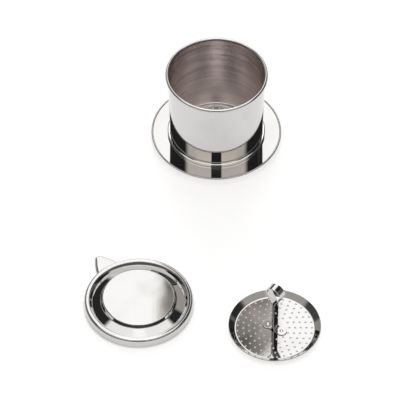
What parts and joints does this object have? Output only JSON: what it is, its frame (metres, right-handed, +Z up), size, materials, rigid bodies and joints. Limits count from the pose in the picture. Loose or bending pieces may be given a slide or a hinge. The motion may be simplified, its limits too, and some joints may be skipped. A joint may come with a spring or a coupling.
{
  "type": "vietnamese coffee filter",
  "caption": "Stainless drip coffee filter: a brewing chamber on a wide saucer that sits on a cup, with a perforated press with a loop handle and a tabbed lid lying beside it.",
  "frame": {"origin": "on the chamber's axis, at the foot of the saucer's collar, which is the surface that the set stands on", "axes": "+Z up along the chamber's axis, +Y away from the lid and the press, +X to the right as seen from them"},
  "size_m": [0.1569, 0.2477, 0.0631],
  "materials": {
    "polished_steel": "mirror-polished stainless steel",
    "chamber_steel": "stainless steel, polished outside and brushed round the inside",
    "satin_steel": "satin stainless steel"
  },
  "bodies": {
    "saucer": {"saucer": "polished_steel"},
    "chamber": {"chamber_wall": "chamber_steel", "filter_plate": "satin_steel"},
    "press": {"press_disc": "polished_steel", "press_handle": "polished_steel", "handle_rivets": "satin_steel"},
    "lid": {"lid": "polished_steel"}
  },
  "joints": [
    {"name": "chamber_lift", "type": "slide", "parent": "saucer", "child": "chamber", "axis": [0, 0, 1], "range_m": [0, 0.03]},
    {"name": "press_lift", "type": "slide", "parent": "saucer", "child": "press", "axis": [0, 0, 1], "range_m": [0, 0.07]},
    {"name": "lid_lift", "type": "slide", "parent": "saucer", "child": "lid", "axis": [0, 0, 1], "range_m": [0, 0.07]}
  ]
}
